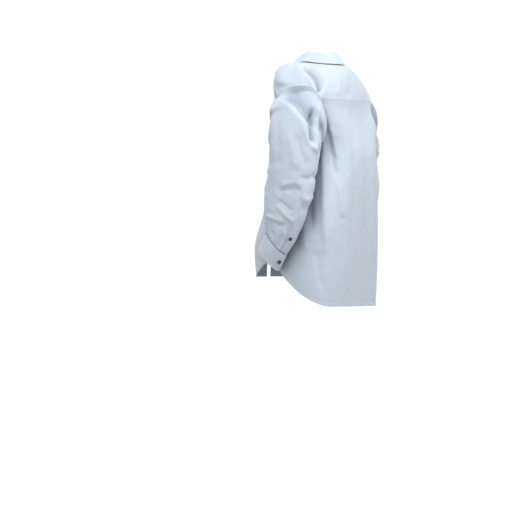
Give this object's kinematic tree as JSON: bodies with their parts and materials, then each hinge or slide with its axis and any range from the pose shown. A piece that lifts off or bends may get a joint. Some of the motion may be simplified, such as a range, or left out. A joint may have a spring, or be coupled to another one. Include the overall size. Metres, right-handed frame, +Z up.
{
  "type": "lab coat",
  "caption": "Hip-length shirt-cut lab coat in pale blue cotton with back yoke, collar, button front, long sleeves and cuffs.",
  "frame": {"origin": "middle of the neck, level with the highest point of the shoulders", "axes": "+Z up, +X to the wearer's left, -Y the way the wearer faces"},
  "size_m": [0.6352, 0.3235, 0.7739],
  "materials": {
    "cotton": "matt plain-weave cotton, pale blue",
    "cotton_double": "matt, doubled and interlined",
    "cotton_inside": "matt, inner layer",
    "tape": "woven tape",
    "label": "satin label, blank",
    "button": "polished, dark"
  },
  "bodies": {
    "torso": {"back_yoke": "cotton", "yoke_lining": "cotton_inside", "back_body": "cotton", "left_front_chest": "cotton", "right_front_chest": "cotton", "left_front_side": "cotton", "right_front_side": "cotton", "left_placket_top": "cotton_double", "right_placket_top": "cotton_double", "collar_stand": "cotton_double", "collar_leaf": "cotton_double", "neck_label": "label", "front_button_1": "button"},
    "left_arm": {"left_sleeve": "cotton", "left_cuff": "cotton_double", "left_sleeve_placket": "cotton_double", "left_cuff_button": "button", "left_placket_button": "button"},
    "right_arm": {"right_sleeve": "cotton", "right_cuff": "cotton_double", "right_sleeve_placket": "cotton_double", "right_cuff_button": "button", "right_placket_button": "button"},
    "left_flap": {"left_front_panel": "cotton", "left_placket": "cotton_double", "chest_pocket": "cotton", "pocket_hem": "cotton_double"},
    "right_flap": {"right_front_panel": "cotton", "right_placket": "cotton_double", "front_button_2": "button", "front_button_3": "button", "front_button_4": "button", "front_button_5": "button", "front_button_6": "button"},
    "loop": {"hanger_loop": "tape"}
  },
  "joints": [
    {"name": "left_sleeve_swing", "type": "hinge", "parent": "torso", "child": "left_arm", "pos_m": [0.184, 0.042, -0.163], "axis": [-0.9848, 0, 0.1736], "range_deg": [-20, 55]},
    {"name": "right_sleeve_swing", "type": "hinge", "parent": "torso", "child": "right_arm", "pos_m": [-0.184, 0.042, -0.163], "axis": [-0.9848, 0, -0.1736], "range_deg": [-20, 55]},
    {"name": "left_front_open", "type": "hinge", "parent": "torso", "child": "left_flap", "pos_m": [0.186, -0.098, -0.4], "axis": [0, 0, 1], "range_deg": [0, 55]},
    {"name": "right_front_open", "type": "hinge", "parent": "torso", "child": "right_flap", "pos_m": [-0.186, -0.098, -0.4], "axis": [0, 0, -1], "range_deg": [0, 55]},
    {"name": "hanger_loop_flip", "type": "hinge", "parent": "torso", "child": "loop", "pos_m": [0, 0.058, 0], "axis": [-1, 0, 0], "range_deg": [0, 140]}
  ]
}
